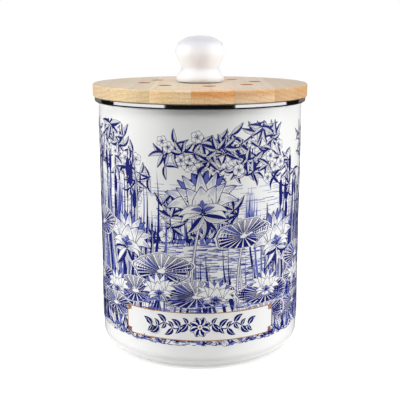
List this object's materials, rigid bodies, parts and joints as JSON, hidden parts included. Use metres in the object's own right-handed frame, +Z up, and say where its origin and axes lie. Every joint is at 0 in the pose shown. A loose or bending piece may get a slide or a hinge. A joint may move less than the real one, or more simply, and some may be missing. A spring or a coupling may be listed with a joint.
{
  "type": "countertop food-waste bin",
  "caption": "Round enamelled steel bin with a rolled steel rim and a vented wooden lift-off lid that carries a ceramic knob, a silicone seal and a twist-out charcoal filter.",
  "frame": {"origin": "centre of the base, on the surface the bin stands on", "axes": "+Z up along the pot's axis; -Y is the front, with the plaque; +X is to the right seen from the front"},
  "size_m": [0.18, 0.18, 0.2618],
  "materials": {
    "enamel": "white vitreous enamel, glossy",
    "rim_steel": "polished stainless steel",
    "beech": "sanded and oiled beech staves",
    "silicone": "matt translucent white silicone",
    "porcelain": "white glazed porcelain, opaque",
    "brass": "turned brass",
    "cushion": "dark rubber washer",
    "zinc": "zinc-plated steel",
    "moulding": "moulded polypropylene, fine satin",
    "charcoal": "needled charcoal felt"
  },
  "bodies": {
    "pot": {"body_shell": "enamel", "rim_ring": "rim_steel"},
    "lid": {"lid_board": "beech", "lid_seal": "silicone", "knob": "porcelain", "knob_insert": "brass", "knob_cushion": "cushion", "knob_washer": "zinc", "knob_screw": "zinc", "filter_housing": "moulding", "housing_screws": "zinc"},
    "basket": {"filter_basket": "moulding", "charcoal_disc": "charcoal"}
  },
  "joints": [
    {"name": "lid_lift", "type": "slide", "parent": "pot", "child": "lid", "axis": [0, 0, 1], "range_m": [0, 0.15]},
    {"name": "basket_twist", "type": "hinge", "parent": "lid", "child": "basket", "pos_m": [0, 0, 0.2], "axis": [0, 0, -1], "range_deg": [0, 30]}
  ]
}
